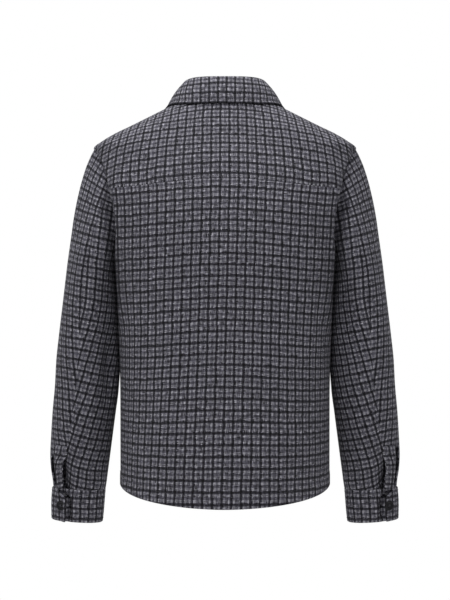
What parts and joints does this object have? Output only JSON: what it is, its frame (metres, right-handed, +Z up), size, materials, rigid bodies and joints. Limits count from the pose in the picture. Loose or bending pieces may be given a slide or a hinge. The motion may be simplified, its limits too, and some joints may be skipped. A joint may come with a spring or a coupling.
{
  "type": "shirt-jacket",
  "caption": "Checked wool shirt-jacket with a turned-down collar, back yoke, set-in sleeves, buttoned cuffs and a curved hem, filled out as if worn.",
  "frame": {"origin": "between the shoulders at the base of the neck, where the wearer's shoulders hold the jacket", "axes": "+Z up; the wearer would face +Y, so the back looks toward -Y; +X to the wearer's right"},
  "size_m": [0.6348, 0.2994, 0.7969],
  "materials": {
    "wool_check": "napped grey wool flannel with a near-black window check",
    "button": "dark four-hole button with a soft gloss"
  },
  "bodies": {
    "root": {"back_panel": "wool_check", "back_yoke": "wool_check", "front_left": "wool_check", "front_right": "wool_check", "front_placket": "wool_check", "collar_stand": "wool_check", "collar_leaf": "wool_check", "top_sleeve_left": "wool_check", "top_sleeve_right": "wool_check", "under_sleeve_left": "wool_check", "under_sleeve_right": "wool_check", "cuff_left": "wool_check", "cuff_right": "wool_check", "sleeve_placket_left": "wool_check", "sleeve_placket_right": "wool_check", "cuff_button_left": "button", "cuff_button_right": "button", "front_button_1": "button", "front_button_2": "button", "front_button_3": "button", "front_button_4": "button", "front_button_5": "button", "front_button_6": "button"}
  },
  "joints": []
}
